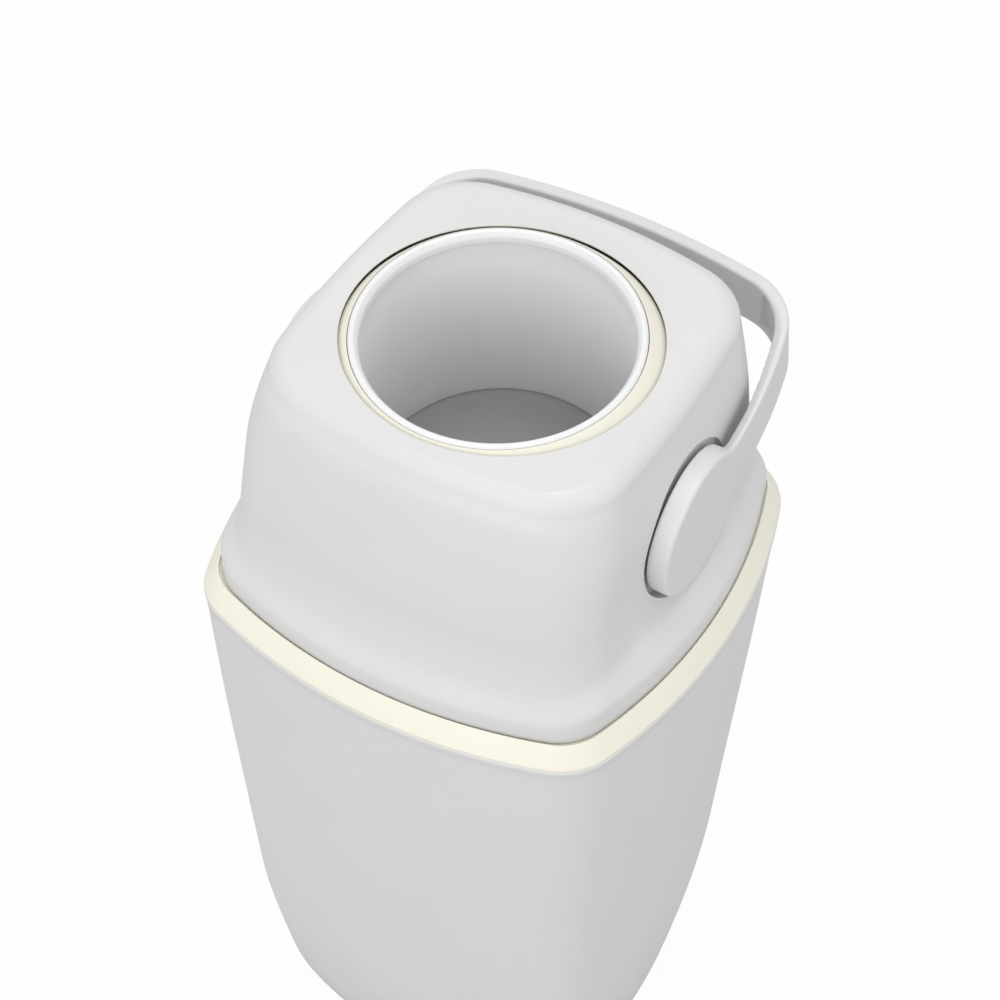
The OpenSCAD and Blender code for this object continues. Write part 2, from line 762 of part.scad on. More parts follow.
module hub_screws() {
    color([0.7, 0.71, 0.73]) for (side = [-1, 1]) at_hub(lean) along_x(side)
        translate([0, 0, ball_end - end_wall - washer_t])
            screw(hub_screw_head_r, hub_screw_head_t, screw_r, hub_screw_len);
}

// Piston

// Half of the piston above its middle plane: dished face, wiper groove, weight pocket
module piston_half() {
    h = piston_h / 2;
    dish_r = (pow(piston_r - wiper_in, 2) + dish_d * dish_d) / (2 * dish_d);
    difference() {
        cylinder(r = piston_r, h = h);
        translate([0, 0, h - dish_d + dish_r]) sphere(r = dish_r, $fn = fine);
        translate([0, 0, -cut]) cylinder(r = weight_r + fit, h = weight_t / 2 + cut);
        translate([0, 0, h - wiper_in - wiper_h])
            ring_solid(piston_r - wiper_d, piston_r + cut, 0, wiper_h);
        for (a = [0:120:240]) rotate([0, 0, a]) translate([stud_ring, 0, -cut])
            cylinder(r = stud_r + fit, h = h - dish_d - stud_cover + cut, $fn = 32);
    }
}

module piston_at(up) {
    at_hub(lean) translate([0, 0, piston_z + piston_h / 2]) mirror([0, 0, up > 0 ? 0 : 1])
        children();
}

module piston_upper() { color([0.72, 0.72, 0.72]) piston_at(1) piston_half(); }
module piston_lower() { color([0.72, 0.72, 0.72]) piston_at(-1) piston_half(); }

module wiper(up) {
    color([0.5, 0.51, 0.52]) piston_at(up) translate([0, 0, piston_h / 2 - wiper_in - wiper_h])
        ring_solid(piston_r - wiper_d, wiper_r, 0, wiper_h);
}

module piston_wiper_upper() { wiper(1); }
module piston_wiper_lower() { wiper(-1); }

module piston_weight() {
    color([0.55, 0.56, 0.58]) piston_at(1)
        cylinder(r = weight_r, h = weight_t, center = true);
}

// Three studs that hold the piston's halves together
module piston_screws() {
    len = piston_h - 2 * (dish_d + stud_cover + seat);
    color([0.7, 0.71, 0.73]) for (a = [0:120:240]) piston_at(1) rotate([0, 0, a])
        translate([stud_ring, 0, 0]) cylinder(r = stud_r, h = len, center = true, $fn = 32);
}

bucket();
bag_ring();
hinge_pin();
head_cover();
head_base();
head_gasket();
head_screws();
upper_seal();
lower_seal();
bush_left();
bush_right();
ball_upper();
ball_lower();
chute_tube();
mouth_rim_upper();
mouth_rim_lower();
handle();
hub_washers();
hub_screws();
piston_upper();
piston_lower();
piston_weight();
piston_wiper_upper();
piston_wiper_lower();
piston_screws();
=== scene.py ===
import math

import bmesh
import bpy
from mathutils import Matrix, Vector


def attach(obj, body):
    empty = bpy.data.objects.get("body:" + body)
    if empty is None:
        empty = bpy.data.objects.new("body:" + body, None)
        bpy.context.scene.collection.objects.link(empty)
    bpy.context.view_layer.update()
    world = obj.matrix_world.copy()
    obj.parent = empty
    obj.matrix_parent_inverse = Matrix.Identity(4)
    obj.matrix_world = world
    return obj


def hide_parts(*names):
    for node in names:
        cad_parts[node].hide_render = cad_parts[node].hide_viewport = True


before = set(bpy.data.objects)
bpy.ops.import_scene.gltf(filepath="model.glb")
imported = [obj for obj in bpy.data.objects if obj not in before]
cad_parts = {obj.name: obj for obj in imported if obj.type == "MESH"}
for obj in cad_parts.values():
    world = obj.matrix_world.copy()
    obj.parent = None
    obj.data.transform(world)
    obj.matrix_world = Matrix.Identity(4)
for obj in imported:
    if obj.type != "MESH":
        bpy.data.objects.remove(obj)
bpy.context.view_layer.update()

MM = 0.001

# Sizes of the CAD source, in millimetres
BUCKET_H = 374.0
RING_H = 11.6
HUB_RISE = 64.4
HUB_DROP = 70.0
SEAM_Z = BUCKET_H + RING_H
HUB_Z = SEAM_Z + HUB_RISE
TOP_Z = HUB_Z + HUB_DROP
BEAD_H = 3.0
BUCKET_WALL = 2.8
FOOT_H = 3.0
FOOT_W = 9.0
RIB_W = 5.0
FLOOR_T = 4.0
FLOOR_Z = FOOT_H + FLOOR_T
MOUTH_R = 78.0
MOUTH_GAP = 1.8
TOP_SIDE_W = 18.2
TOP_FRONT_W = 17.2
TOP_BACK_W = 26.5
TOP_HALF = (MOUTH_R + TOP_SIDE_W, MOUTH_R + TOP_FRONT_W, MOUTH_R + TOP_BACK_W)
BALL_R = math.hypot(MOUTH_R, HUB_DROP) - MOUTH_GAP
BALL_SHOW = 6.6
BALL_WALL = 2.5
BALL_END_WALL = 3.0
RIM_PROUD = 1.1
RIM_W = 5.7
RIM_LIP_D = 6.2
RIM_R = MOUTH_R - BALL_SHOW
LIP_R = RIM_R - RIM_W
RIM_Z = math.sqrt(BALL_R ** 2 - RIM_R ** 2) + RIM_PROUD
LIP_Z = RIM_Z - RIM_LIP_D
RIM_SKIRT = 1.6
RIM_SKIRT_D = 14.0
FIT = 0.1
SEAT = 0.3
RUN = 0.05
TUBE_R = RIM_R - RIM_SKIRT - FIT
TUBE_WALL = 2.5
BORE_R = TUBE_R - TUBE_WALL
BALL_CLEAR = 1.2
LEAN = 3.2
BALL_ROOM = 20.7
HEAD_HALF = BALL_R + BALL_ROOM
HEAD_WALL = 2.8
HEAD_EDGE_R = 10.0
SKIRT_DIP = 1.2
SEAM_GAP = 0.8
RING_LIP = 0.6
RING_SLOPE_W = 7.2
RIM_HALF = HEAD_HALF + SEAM_GAP + RING_LIP + RING_SLOPE_W
RING_WALL = 2.5
RING_SKIRT_D = 22.0
BAG_ROOM = 1.2
LEDGE_D = 2.0
LEDGE_W = 18.0
LEDGE_Z = SEAM_Z - LEDGE_D
RING_INNER = HEAD_HALF + SEAM_GAP - LEDGE_W
GASKET_H = 3.0
BASE_T = 3.0
BASE_TOP = LEDGE_Z + SEAT + GASKET_H + BASE_T
RECESS_D = 0.9
PAD_T = 6.0
FLANGE_T = 2.0
DISC_GAP = 1.2
DISC_T = 9.0
DISC_R = 38.0
BUSH_R = 19.65
SPIGOT_R = 16.0
HANDLE_ANGLE = 12.5
HANDLE_REACH = 140.5
GRIP_T = 7.4
ARM_T = 5.6
ARM_W = 34.0
GRIP_W = 36.0
ARM_STEP = 1.0
NECK_FILLET = 14.0
ARM_RISE = 0.31 * HANDLE_REACH
ARM_BOW = 1.99 * HANDLE_REACH
BAR_BOW = 3.24 * HANDLE_REACH
BAIL_CORNER = 0.26 * HANDLE_REACH
CHANNEL_D = 3.0
CHANNEL_RIM = 4.0
CHANNEL_END_X = 84.0
CHANNEL_SLANT_X = 88.0
CHANNEL_SLANT = 1.6
PIN_R = 2.5
KNUCKLE_R = 6.0
KNUCKLE_HALF = 22.0
KNUCKLE_LEN = 16.0
KNUCKLE_GAP = 0.4
WEB_D = 24.0
WEB_FOOT = 8.0
WEB_SLOPE = 14.0
HINGE_Y = RIM_HALF + KNUCKLE_R + SEAT
HINGE_Z = SEAM_Z + KNUCKLE_R / 2
PISTON_H = 30.0
DISH_D = 5.0
WIPER_IN = 5.0
WIPER_H = 4.0
WIPER_D = 3.5

# Sizes of the looks alone, in millimetres: the CAD source is plainer here
EDGE_TURN = math.radians(66)
FRONT_EDGE_H = 22.0
SKIRT_EDGE_R = 0.7
MOUTH_EDGE_R = 0.5
MOUTH_EDGE_D = 0.7
MOUTH_RING_W = 1.2
RECESS_R = 41.2
RECESS_IN = 3.0
DISC_IN = 2.0
DISC_EDGE_R = 1.7
DISC_BACK_R = 0.8
FOOT_EDGE_R = 4.0
BEAD_W = 0.5
RIM_EDGE_R = 0.6
RIM_INNER_R = 0.4
FOOT_CHAMFER = 0.5
LUG_EDGE = 0.8
LUG_SINK = 1.4
RIM_GROOVE = 0.3
RIM_EDGE_D = 1.2
RIM_EDGE_W = 1.3
RIM_CREST_D = 0.3
RIM_CREST_W = 2.9
FUNNEL_D = 3.0
FUNNEL_W = 0.7
ARM_EDGE = 0.8
ARM_EDGE_R = 0.6
GRIP_EDGE_R = 2.6
ARM_OUTER_R = 1.1
BEVEL_W = 3.9
BEVEL_H = 3.2
BEVEL_END = 136.0
BEVEL_RUN = 34.0
ROOT_DRAFT = 0.03
VOXEL = 0.8
SMOOTH_PASSES = 3
HALF_GAP = 0.06
PISTON_R = BORE_R - 0.12
PISTON_SPLIT = 0.02
PISTON_EDGE_W = 0.5

# Bow radii and corner radius of the outlines, as shares of their half width
BOW = 2.177
CORNER = 0.266

# Cutters stand out past the skin, and the axis of a hollow stays just open
PAST = 30.0
AXIS_R = 0.5

# Steps of a rounded edge
ARC = [math.radians(a) for a in (0, 30, 60, 90)]

# Height, way from the skirt to the flat top at the side, front and back, bows and corner
HEAD_SHARES = [
    (0, 0, 0, 0, BOW, BOW, CORNER),
    (0.070, 0.0, 0.0, 0.01, 2.2, BOW, CORNER),
    (0.108, 0.07, 0.06, 0.10, 2.6, BOW, 0.265),
    (0.164, 0.34, 0.19, 0.27, 4.0, BOW, 0.262),
    (0.222, 0.56, 0.28, 0.39, 6.0, BOW, 0.259),
    (0.341, 0.68, 0.40, 0.55, 8.0, 2.2, 0.256),
    (0.518, 0.73, 0.50, 0.72, 7.3, 2.25, 0.275),
    (0.759, 0.77, 0.72, 0.98, 6.3, 2.3, 0.30),
    (1, 1, 1, 1, 5.3, 2.37, 0.322)]

# Height and half widths at the side, front and back
BUCKET_SHARES = [
    (0, 0.779, 0.733, 0.824),
    (0.053, 0.816, 0.771, 0.862),
    (0.134, 0.853, 0.809, 0.898),
    (0.214, 0.884, 0.843, 0.926),
    (0.294, 0.906, 0.871, 0.940),
    (0.401, 0.921, 0.896, 0.948),
    (0.588, 0.947, 0.933, 0.961),
    (0.775, 0.973, 0.968, 0.978),
    (1, 1, 1, 1)]


# Mesh helpers

def link(obj):
    bpy.context.scene.collection.objects.link(obj)
    return obj


def make(name, verts, faces, sharp=40.0):
    mesh = bpy.data.meshes.new(name)
    mesh.from_pydata([Vector(v) * MM for v in verts], [], faces)
    mesh.validate()
    obj = link(bpy.data.objects.new(name, mesh))
    tidy(obj, sharp)
    return obj


def tidy(obj, sharp):
    bm = bmesh.new()
    bm.from_mesh(obj.data)
    bmesh.ops.remove_doubles(bm, verts=bm.verts, dist=1e-6)
    wires = [e for e in bm.edges if not e.link_faces]
    bmesh.ops.delete(bm, geom=wires, context="EDGES")
    bmesh.ops.recalc_face_normals(bm, faces=bm.faces)
    bm.to_mesh(obj.data)
    bm.free()
    obj.data.shade_smooth()
    if sharp:
        obj.data.set_sharp_from_angle(angle=math.radians(sharp))


def smooth_rows(rows, k):
    """Rows with k steps between each pair, on a curve through all of them."""
    out = []
    for i in range(len(rows) - 1):
        a, b = rows[max(i - 1, 0)], rows[i]
        c, d = rows[i + 1], rows[min(i + 2, len(rows) - 1)]
        for j in range(k):
            u = j / k
            out.append(tuple(
                q + (u * (r - p) + u * u * (2 * p - 5 * q + 4 * r - s)
                     + u ** 3 * (3 * q - p - 3 * r + s)) / 2
                for p, q, r, s in zip(a, b, c, d)))
    out.append(rows[-1])
    return out


def quarter(hx, hy, rx, ry, r, n=12):
    """Quarter outline of three tangent arcs: side bow, corner and front bow."""
    a, b = Vector((hx - rx, 0)), Vector((0, hy - ry))
    d = (b - a).length
    e = (b - a) / d
    f = ((rx - r) ** 2 - (ry - r) ** 2 + d * d) / (2 * d)
    g = math.sqrt(max(0.0, (rx - r) ** 2 - f * f))
    c = a + e * f + g * Vector((-e.y, e.x))
    a1 = math.atan2(c.y - a.y, c.x - a.x)
    a2 = math.atan2(c.y - b.y, c.x - b.x)
    pts = [a + rx * Vector((math.cos(a1 * i / n), math.sin(a1 * i / n))) for i in range(n)]
    for i in range(2 * n + 1):
        t = a1 + (a2 - a1) * i / (2 * n)
        pts.append(c + r * Vector((math.cos(t), math.sin(t))))
    for i in range(1, n + 1):
        t = a2 + (math.pi / 2 - a2) * i / n
        pts.append(b + ry * Vector((math.cos(t), math.sin(t))))
    return pts


def outline(row):
    """Outline of a row: height, half widths at side, front and back, bows, corner."""
    back = quarter(row[1], row[3], row[4], row[5], row[6])
    front = quarter(row[1], row[2], row[4], row[5], row[6])
    pts = list(back)
    pts += [Vector((-p.x, p.y)) for p in reversed(back)][1:-1]
    pts += [Vector((-p.x, -p.y)) for p in front]
    pts += [Vector((p.x, -p.y)) for p in reversed(front)][1:-1]
    return pts


def lift(row, z):
    return (z,) + tuple(row[1:])


def drawn_in(row, d):
    return (row[0],) + tuple(v - d for v in row[1:])


def eased(row):
    """Row with its front drawn in towards the plateau's edge."""
    u = (row[0] - TOP_Z) / FRONT_EDGE_H + 1
    v = (row[0] - TOP_Z) / HEAD_EDGE_R + 1
    drop = 0.0
    for part, sign in ((u, 1), (v, -1)):
        turn = math.asin(max(0.0, min(1.0, part)) * math.sin(EDGE_TURN))
        drop += sign * HEAD_EDGE_R * (1 - math.cos(turn)) / (1 - math.cos(EDGE_TURN))
    return row[:2] + (row[2] - drop,) + tuple(row[3:])


def row_at(rows, z):
    for a, b in zip(rows, rows[1:]):
        if a[0] <= z <= b[0]:
            t = (z - a[0]) / (b[0] - a[0])
            return (z,) + tuple(p + (q - p) * t for p, q in zip(a[1:], b[1:]))
    return lift(rows[0] if z < rows[0][0] else rows[-1], z)


def head_rows(k=8):
    rise = TOP_Z - SEAM_Z - HEAD_EDGE_R
    return smooth_rows([
        (SEAM_Z + s[0] * rise,)
        + tuple(HEAD_HALF + v * (t - HEAD_HALF) for v, t in zip(s[1:4], TOP_HALF))
        + tuple(v * HEAD_HALF for v in s[4:]) for s in HEAD_SHARES], k)


def bucket_rows():
    rise = BUCKET_H - BEAD_H
    return smooth_rows([
        (s[0] * rise, s[1] * RIM_HALF, s[2] * RIM_HALF, s[3] * RIM_HALF,
         BOW * s[1] * RIM_HALF, BOW * s[1] * RIM_HALF, CORNER * s[1] * RIM_HALF)
        for s in BUCKET_SHARES], 8)


# Hub stack along X, as deep in the side as in the CAD source
RECESS_X = row_at(head_rows(2), HUB_Z)[1] - RECESS_D
DISC_X = RECESS_X + DISC_GAP
PAD_X = RECESS_X - PAD_T
BALL_END = PAD_X - SEAT - FLANGE_T - DISC_GAP
HANDLE_WIDE = DISC_X + DISC_T - ARM_STEP


def rings(loops, closed=False):
    """Faces between equal loops of points; closed joins the last loop to the first."""
    verts = [p for loop in loops for p in loop]
    n, m = len(loops[0]), len(loops)
    faces = []
    for j in range(m if closed else m - 1):
        for i in range(n):
            k = (i + 1) % n
            faces.append((j * n + i, j * n + k, (j + 1) % m * n + k, (j + 1) % m * n + i))
    if not closed:
        faces.append(tuple(range(n - 1, -1, -1)))
        faces.append(tuple((m - 1) * n + i for i in range(n)))
    return verts, faces


def flat_loop(row):
    return [(p.x, p.y, row[0]) for p in outline(row)]


def shrunk(points, share, z):
    return [(p.x * share, p.y * share, z) for p in points]


def rounded(points, radii, n=5):
    """Closed 2D polygon with each corner rounded by its own radius."""
    out = []
    m = len(points)
    for i, (p, r) in enumerate(zip(points, radii)):
        p = Vector(p)
        a, b = Vector(points[i - 1]) - p, Vector(points[(i + 1) % m]) - p
        if r <= 0:
            out.append(p)
            continue
        ua, ub = a.normalized(), b.normalized()
        half = math.acos(max(-1.0, min(1.0, ua.dot(ub)))) / 2
        cut = min(r / math.tan(half), a.length * 0.49, b.length * 0.49)
        r = cut * math.tan(half)
        mid = (ua + ub).normalized()
        c = p + mid * (r / math.sin(half))
        s, e = p + ua * cut - c, p + ub * cut - c
        a0 = math.atan2(s.y, s.x)
        turn = (math.atan2(e.y, e.x) - a0 + math.pi) % (2 * math.pi) - math.pi
        for k in range(n + 1):
            t = a0 + turn * k / n
            out.append(c + Vector((math.cos(t), math.sin(t))) * r)
    return out


def lathe(name, profile, segs, sharp=40.0):
    """Closed profile of (radius, height) turned round Z."""
    loops = []
    for r, z in profile:
        turns = [2 * math.pi * i / segs for i in range(segs)]
        loops.append([(r * math.cos(t), r * math.sin(t), z) for t in turns])
    verts, faces = rings(loops, closed=True)
    return make(name, verts, faces, sharp)


def place(obj, matrix):
    obj.data.transform(matrix)
    obj.data.update()
    return obj


def at_hub(angle):
    return Matrix.Translation((0, 0, HUB_Z * MM)) @ Matrix.Rotation(math.radians(angle), 4, "X")


def along_x(side):
    return Matrix.Rotation(math.radians(90 * side), 4, "Y")


def box(name, lo, hi):
    verts = [(x, y, z) for x in (lo[0], hi[0]) for y in (lo[1], hi[1]) for z in (lo[2], hi[2])]
    faces = [(0, 1, 3, 2), (4, 6, 7, 5), (0, 4, 5, 1), (2, 3, 7, 6), (0, 2, 6, 4), (1, 5, 7, 3)]
    return make(name, verts, faces)


def rod(name, r, z0, z1, segs, edge=0.0):
    """Solid of revolution with closed ends along Z, edges rounded."""
    prof = rounded([(0.0, z0), (r, z0), (r, z1), (0.0, z1)], [0, edge, edge, 0], 4)
    return lathe(name, [(p.x, p.y) for p in prof], segs)


def bake(obj):
    """Applies the object's modifiers to its mesh."""
    deps = bpy.context.evaluated_depsgraph_get()
    mesh = bpy.data.meshes.new_from_object(obj.evaluated_get(deps))
    obj.modifiers.clear()
    old = obj.data
    obj.data = mesh
    bpy.data.meshes.remove(old)


def carve(obj, cutter, how="DIFFERENCE", sharp=30.0):
    """Boolean of the object with the cutter, which is used up."""
    mod = obj.modifiers.new("b", "BOOLEAN")
    mod.operation = how
    mod.solver = "EXACT"
    mod.object = cutter
    bake(obj)
    bpy.data.objects.remove(cutter)
    obj.data.shade_smooth()
    obj.data.set_sharp_from_angle(angle=math.radians(sharp))


def join(name, objs):
    bm = bmesh.new()
    for o in objs:
        bm.from_mesh(o.data)
        bpy.data.objects.remove(o)
    mesh = bpy.data.meshes.new(name)
    bm.to_mesh(mesh)
    bm.free()
    return link(bpy.data.objects.new(name, mesh))


# Materials

def node_kit(name):
    """New material, its shader, and a maker of nodes with their values set."""
    mat = bpy.data.materials.new(name)
    mat.use_nodes = True
    nodes, links = mat.node_tree.nodes, mat.node_tree.links

    def add(kind, **values):
        node = nodes.new("ShaderNode" + kind)
        for key, value in values.items():
            node.inputs[key.replace("_", " ")].default_value = value
        return node

    return mat, nodes["Principled BSDF"], add, links.new


def cloudy(add, wire, bsdf, coord, scale, detail, ends, stops):
    """Base colour that drifts between two tones."""
    cloud = add("TexNoise", Scale=scale, Detail=detail)
    wire(coord.outputs["Object"], cloud.inputs["Vector"])
    ramp = add("ValToRGB")
    for element, tone, stop in zip(ramp.color_ramp.elements, ends, stops):
        element.position = stop
        element.color = (*tone, 1)
    wire(cloud.outputs["Fac"], ramp.inputs["Fac"])
    wire(ramp.outputs["Color"], bsdf.inputs["Base Color"])


def plastic(name, color, rough, spread, grain, grain_scale=2600.0):
    """Moulded plastic: faint cloudy tone, fine spark-eroded grain, uneven gloss."""
    mat, bsdf, add, wire = node_kit(name)
    coord = add("TexCoord")
    tones = ([max(0.0, c * (1 - spread)) for c in color],
             [min(1.0, c * (1 + spread)) for c in color])
    cloudy(add, wire, bsdf, coord, 14.0, 4.0, tones, (0.3, 0.7))
    speck = add("TexNoise", Scale=420.0, Detail=3.0)
    wire(coord.outputs["Object"], speck.inputs["Vector"])
    span = add("MapRange", To_Min=rough - 0.05, To_Max=rough + 0.05)
    wire(speck.outputs["Fac"], span.inputs["Value"])
    wire(span.outputs["Result"], bsdf.inputs["Roughness"])
    fine = add("TexNoise", Scale=grain_scale, Detail=2.0)
    wire(coord.outputs["Object"], fine.inputs["Vector"])
    bump = add("Bump", Strength=grain, Distance=0.0002)
    wire(fine.outputs["Fac"], bump.inputs["Height"])
    wire(bump.outputs["Normal"], bsdf.inputs["Normal"])
    return mat


def metal(name, color, rough=0.34):
    """Steel: cloudy surface and fine turning lines."""
    mat, bsdf, add, wire = node_kit(name)
    coord = add("TexCoord")
    tones = ([c * 0.85 for c in color], [min(1.0, c * 1.1) for c in color])
    cloudy(add, wire, bsdf, coord, 90.0, 5.0, tones, (0.0, 1.0))
    wave = add("TexWave", Scale=900.0, Distortion=3.0)
    wave.bands_direction = "X"
    wire(coord.outputs["Object"], wave.inputs["Vector"])
    bump = add("Bump", Strength=0.15, Distance=0.0001)
    wire(wave.outputs["Fac"], bump.inputs["Height"])
    wire(bump.outputs["Normal"], bsdf.inputs["Normal"])
    bsdf.inputs["Metallic"].default_value = 1.0
    bsdf.inputs["Roughness"].default_value = rough
    return mat


def srgb(r, g, b):
    return tuple(((v / 255 + 0.055) / 1.055) ** 2.4 for v in (r, g, b))


# Colour, roughness, spread of the tone and depth of the grain
GREY = plastic("plastic_grey", srgb(221, 221, 221), 0.40, 0.012, 0.10)
PALE = plastic("plastic_pale", srgb(237, 237, 238), 0.40, 0.01, 0.06)
CREAM = plastic("plastic_cream", srgb(241, 238, 223), 0.42, 0.01, 0.06)
INNER = plastic("plastic_inner", srgb(240, 240, 240), 0.42, 0.01, 0.06)
# Piston: its dark grey is painted shade, the shade deep down the chute put onto the piston's face
# in place of its own lighter tone
PISTON_PAINTED_SHADE = plastic("plastic_piston_painted_shade", srgb(146, 146, 146), 0.5, 0.02, 0.10)
BEARING = plastic("plastic_bearing", srgb(232, 232, 226), 0.30, 0.01, 0.03)
RUBBER = plastic("rubber_seal", srgb(46, 46, 47), 0.62, 0.05, 0.25, 1500.0)
STEEL = metal("steel_plated", srgb(196, 198, 201))
WEIGHT = metal("steel_weight", srgb(150, 152, 155), 0.5)


def finish(obj, mat, body, node):
    """Material, slot, the CAD node that the piece stands for, and its body."""
    obj.data.materials.clear()
    obj.data.materials.append(mat)
    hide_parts(node)
    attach(obj, body)


# Head cover: one closed skin from the skirt over the top into the mouth and back inside

def head_cover():
    rows = head_rows()
    first, last = rows[0], rows[-1]
    e, w, c = HEAD_EDGE_R, HEAD_WALL, SKIRT_EDGE_R
    bottom = SEAM_Z - SKIRT_DIP
    loops = [flat_loop(lift(drawn_in(first, c - c * math.cos(t)), bottom + c - c * math.sin(t)))
             for t in reversed(ARC)]
    loops += [flat_loop(eased(r)) for r in rows[1:]]
    for i in range(1, 11):
        t = EDGE_TURN * i / 10
        inward = e * (1 - math.cos(t)) / (1 - math.cos(EDGE_TURN))
        z = last[0] + e * math.sin(t) / math.sin(EDGE_TURN)
        loops.append(flat_loop(eased(lift(drawn_in(last, inward), z))))
    top = outline(drawn_in(last, e))

    def mouth(r, z):
        return [(r * p.x / p.length, r * p.y / p.length, z) for p in top]

    rim = mouth(MOUTH_R + MOUTH_RING_W, TOP_Z)
    for s in (0.06, 0.5):
        loops.append([(p.x + (q[0] - p.x) * s, p.y + (q[1] - p.y) * s, TOP_Z)
                      for p, q in zip(top, rim)])
    c = MOUTH_EDGE_R
    loops.append(mouth(MOUTH_R + 2 * c, TOP_Z))
    loops += [mouth(MOUTH_R + c - c * math.sin(t), TOP_Z - c + c * math.cos(t)) for t in ARC]
    loops.append(mouth(MOUTH_R, TOP_Z - MOUTH_EDGE_D))
    loops.append(mouth(math.sqrt((BALL_R + BALL_CLEAR) ** 2 - (HUB_DROP - w) ** 2), TOP_Z - w))
    for i in range(6, -1, -1):
        t = math.radians(15 * i)
        loops.append(flat_loop(eased(lift(drawn_in(last, e - (e - w) * math.cos(t)),
                                          last[0] + (e - w) * math.sin(t)))))
    loops += [flat_loop(eased(drawn_in(r, w))) for r in reversed(rows[1:-1])]
    loops.append(flat_loop(lift(drawn_in(first, w), bottom)))
    verts, faces = rings(loops, closed=True)
    obj = make("head_shell", verts, faces, 35)
    room = [flat_loop(drawn_in(r, w / 2)) for r in rows[1:]]
    for side in (-1, 1):
        at_side = at_hub(0) @ along_x(side)
        pad = place(rod("c", RECESS_R + w, PAD_X, RECESS_X + PAST, 160), at_side)
        carve(pad, make("c", *rings(room), 0), "INTERSECT")
        carve(obj, pad, "UNION", 35)
        carve(obj, place(rod("c", RECESS_R, RECESS_X - RECESS_IN, RECESS_X + PAST, 160), at_side))
        carve(obj, place(rod("c", BUSH_R, PAD_X, RECESS_X + 2, 128), at_side))
    half = KNUCKLE_HALF + 2 * KNUCKLE_GAP
    carve(obj, box("c", (-half, HEAD_HALF / 2, bottom - 1),
                   (half, HEAD_HALF * 1.5, BASE_TOP + SEAT)))
    finish(obj, GREY, "head", "head_cover")


# Bucket: outer wall, rim, inner wall and floor in one closed skin, with the hinge lugs

def hinge_lug(x0):
    """Knuckle with its web down the bucket's back, its ends chamfered."""
    web_z = HINGE_Z - WEB_D - KNUCKLE_R
    sunk = RIM_HALF - LUG_SINK
    prof = [(sunk, web_z - WEB_FOOT), (RIM_HALF + 2, web_z),
            (HINGE_Y + KNUCKLE_R, web_z + WEB_SLOPE)]
    for i in range(0, 13):
        t = math.radians(180 * i / 12)
        prof.append((HINGE_Y + KNUCKLE_R * math.cos(t), HINGE_Z + KNUCKLE_R * math.sin(t)))
    prof += [(HINGE_Y - KNUCKLE_R, BUCKET_H - RIM_EDGE_R), (sunk, BUCKET_H - RIM_EDGE_R)]
    n = len(prof)
    cy = sum(p[0] for p in prof) / n
    cz = sum(p[1] for p in prof) / n

    def loop(x, d):
        return [(x, p[0] - d * (1 if p[0] > cy else -1) * (p[0] != sunk),
                 p[1] - d * (1 if p[1] > cz else -1) * 0.5) for p in prof]

    c = LUG_EDGE
    verts, faces = rings([loop(x0, c), loop(x0 + c, 0), loop(x0 + KNUCKLE_LEN - c, 0),
                          loop(x0 + KNUCKLE_LEN, c)])
    return make("lug", verts, faces, 35)


def bucket():
    rows = bucket_rows()
    low, top = rows[0], rows[-1]
    w = BUCKET_WALL
    foot = outline(low)
    loops = [shrunk(foot, 0.02, 0), shrunk(foot, 0.6, 0)]
    for i in range(0, 7):
        t = math.radians(90 - 15 * i)
        z = FOOT_EDGE_R - FOOT_EDGE_R * math.sin(t)
        inward = FOOT_EDGE_R - FOOT_EDGE_R * math.cos(t)
        loops.append(flat_loop(lift(drawn_in(row_at(rows, z), inward), z)))
    loops += [flat_loop(r) for r in rows if FOOT_EDGE_R < r[0] < top[0] - 0.5]
    bead = drawn_in(top, -BEAD_W)
    loops.append(flat_loop(lift(top, top[0] - 0.5)))
    loops.append(flat_loop(lift(drawn_in(top, -0.7 * BEAD_W), top[0] + 0.1)))
    loops.append(flat_loop(lift(bead, top[0] + 0.5)))
    c = RIM_EDGE_R
    loops += [flat_loop(lift(drawn_in(bead, c - c * math.cos(t)), BUCKET_H - c + c * math.sin(t)))
              for t in ARC]
    loops.append(flat_loop(lift(drawn_in(top, w - RIM_INNER_R), BUCKET_H)))
    loops.append(flat_loop(lift(drawn_in(top, w), BUCKET_H - RIM_INNER_R)))
    loops += [flat_loop(drawn_in(r, w)) for r in reversed(rows) if r[0] > FLOOR_Z + 2 * w]
    for t in ARC:
        r = row_at(rows, FLOOR_Z + 2 * w - 2 * w * math.sin(t))
        loops.append(flat_loop(drawn_in(r, w + 2 * w - 2 * w * math.cos(t))))
    inner = outline(drawn_in(low, 3 * w))
    loops += [shrunk(inner, 0.6, FLOOR_Z), shrunk(inner, 0.02, FLOOR_Z)]
    verts, faces = rings(loops)
    shell = make("bucket_shell", verts, faces, 35)
    lugs = [hinge_lug(KNUCKLE_HALF + KNUCKLE_GAP),
            hinge_lug(-KNUCKLE_HALF - KNUCKLE_GAP - KNUCKLE_LEN)]
    obj = join("bucket_shell", [shell] + lugs)
    tidy(obj, 35)
    at_hinge = Matrix.Translation((0, HINGE_Y * MM, HINGE_Z * MM)) @ along_x(1)
    carve(obj, place(rod("c", PIN_R + RUN, -60, 60, 64), at_hinge), sharp=35)
    room = drawn_in(low, FOOT_W)
    verts, faces = rings([flat_loop(lift(room, -1)), flat_loop(lift(room, FOOT_H - FOOT_CHAMFER)),
                          flat_loop(lift(drawn_in(room, FOOT_CHAMFER), FOOT_H))])
    pockets = make("c", verts, faces)
    far = 2 * RIM_HALF
    carve(pockets, box("c", (-far, -RIB_W / 2, -2), (far, RIB_W / 2, 9)))
    carve(pockets, box("c", (-RIB_W / 2, -far, -2), (RIB_W / 2, far, 9)))
    carve(obj, pockets, sharp=35)
    finish(obj, GREY, "bin", "bucket")


# Cream ring: slope, lip, ledge under the head and a skirt inside the bucket

